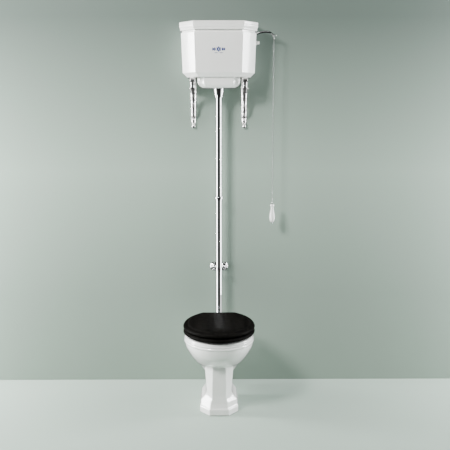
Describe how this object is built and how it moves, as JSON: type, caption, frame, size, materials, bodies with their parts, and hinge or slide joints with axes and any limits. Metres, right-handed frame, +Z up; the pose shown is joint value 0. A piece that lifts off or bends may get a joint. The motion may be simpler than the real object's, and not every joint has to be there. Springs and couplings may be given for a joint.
{
  "type": "high level toilet",
  "caption": "High-level toilet: octagonal-footed pan with lacquered seat and lid, wall cistern on cast brackets, chrome flush pipe, and a chain pull with a ceramic handle.",
  "frame": {"origin": "on the floor, on the centre line of the pan's foot, 0.347 m in front of the wall", "axes": "+Z up, front faces -Y, the wall is at +Y"},
  "size_m": [0.53, 0.615, 2.06],
  "materials": {
    "china": "white glaze, high gloss",
    "chrome": "polished",
    "casting": "polished casting",
    "lacquer": "gloss black lacquer over wood",
    "rubber": "matt grey",
    "plastic": "white moulded",
    "brass": "plain"
  },
  "bodies": {
    "root": {"pan": "china", "cistern_body": "china", "pan_screw_left": "chrome", "pan_screw_right": "chrome", "cistern_screw_left": "chrome", "cistern_screw_right": "chrome", "hinge_bar": "chrome", "hinge_post_left": "chrome", "hinge_post_right": "chrome", "flush_pipe_upper": "chrome", "flush_pipe_lower": "chrome", "pipe_coupling": "chrome", "outlet_cone_nut": "chrome", "clip_band": "chrome", "clip_stem_left": "chrome", "clip_stem_right": "chrome", "clip_nut_left": "chrome", "clip_nut_right": "chrome", "lever_pin": "chrome", "bracket_left": "casting", "bracket_right": "casting", "bracket_screw_left_upper": "casting", "bracket_screw_left_lower": "casting", "bracket_screw_right_upper": "casting", "bracket_screw_right_lower": "casting", "lever_bracket": "casting", "flush_cone": "rubber", "siphon_washer": "rubber", "fill_valve_washer": "rubber", "siphon_body": "plastic", "siphon_back_nut": "plastic", "fill_valve_body": "plastic", "fill_valve_nut": "plastic", "hinge_nut_left": "plastic", "hinge_nut_right": "plastic"},
    "seat": {"seat_ring": "lacquer", "seat_strap_left": "chrome", "seat_strap_right": "chrome", "seat_buffer_front_left": "rubber", "seat_buffer_front_right": "rubber", "seat_buffer_rear_left": "rubber", "seat_buffer_rear_right": "rubber"},
    "lid": {"seat_lid": "lacquer", "lid_strap_left": "chrome", "lid_strap_right": "chrome", "lid_buffer_left": "rubber", "lid_buffer_right": "rubber"},
    "cistern_cover": {"cistern_lid": "china"},
    "lever": {"flush_lever": "chrome"},
    "link": {"lift_link": "chrome"},
    "siphon_plunger": {"siphon_piston": "plastic"},
    "hook": {"chain_hook": "chrome"},
    "chain": {"pull_chain": "chrome", "handle_ring": "chrome"},
    "pull": {"handle_spindle": "chrome", "pull_handle": "china"},
    "float": {"float_arm": "brass", "float_ball": "plastic"},
    "valve_plunger": {"valve_piston": "brass"}
  },
  "joints": [
    {"name": "seat_hinge", "type": "hinge", "parent": "root", "child": "seat", "pos_m": [0, 0.165, 0.4485], "axis": [-1, 0, 0], "range_deg": [0, 95]},
    {"name": "lid_hinge", "type": "hinge", "parent": "seat", "child": "lid", "pos_m": [0, 0.165, 0.4485], "axis": [1, 0, 0], "range_deg": [-95, 0]},
    {"name": "cistern_lid_lift", "type": "slide", "parent": "root", "child": "cistern_cover", "axis": [0, 0, 1], "range_m": [0, 0.15]},
    {"name": "lever_turn", "type": "hinge", "parent": "root", "child": "lever", "pos_m": [0.155, 0.267, 1.996], "axis": [0, 1, 0], "range_deg": [0, 24], "stiffness_Nm_per_rad": 2.5, "springref_deg": -22.92},
    {"name": "link_turn", "type": "hinge", "parent": "lever", "child": "link", "pos_m": [0.076, 0.267, 1.979], "axis": [0, 1, 0], "range_deg": [-24, 0]},
    {"name": "siphon_slide", "type": "slide", "parent": "root", "child": "siphon_plunger", "axis": [0, 0, 1], "range_m": [0, 0.034]},
    {"name": "hook_turn", "type": "hinge", "parent": "lever", "child": "hook", "pos_m": [0.302, 0.267, 1.997], "axis": [0, 1, 0], "range_deg": [-24, 0]},
    {"name": "chain_swing", "type": "hinge", "parent": "hook", "child": "chain", "pos_m": [0.302, 0.267, 1.9751], "axis": [0, 1, 0], "range_deg": [-12, 12]},
    {"name": "handle_swing", "type": "hinge", "parent": "chain", "child": "pull", "pos_m": [0.302, 0.267, 1.076], "axis": [1, 0, 0], "range_deg": [-20, 20]},
    {"name": "float_turn", "type": "hinge", "parent": "root", "child": "float", "pos_m": [0.138, 0.246, 1.955], "axis": [0, 1, 0], "range_deg": [0, 18]},
    {"name": "valve_slide", "type": "slide", "parent": "root", "child": "valve_plunger", "axis": [1, 0, 0], "range_m": [0, 0.004]}
  ],
  "couplings": [
    {"joint": "link_turn", "follows": "lever_turn", "ratio": -1},
    {"joint": "hook_turn", "follows": "lever_turn", "ratio": -1},
    {"joint": "siphon_slide", "follows": "lever_turn", "m_per_rad": 0.081},
    {"joint": "valve_slide", "follows": "float_turn", "m_per_rad": 0.01}
  ]
}
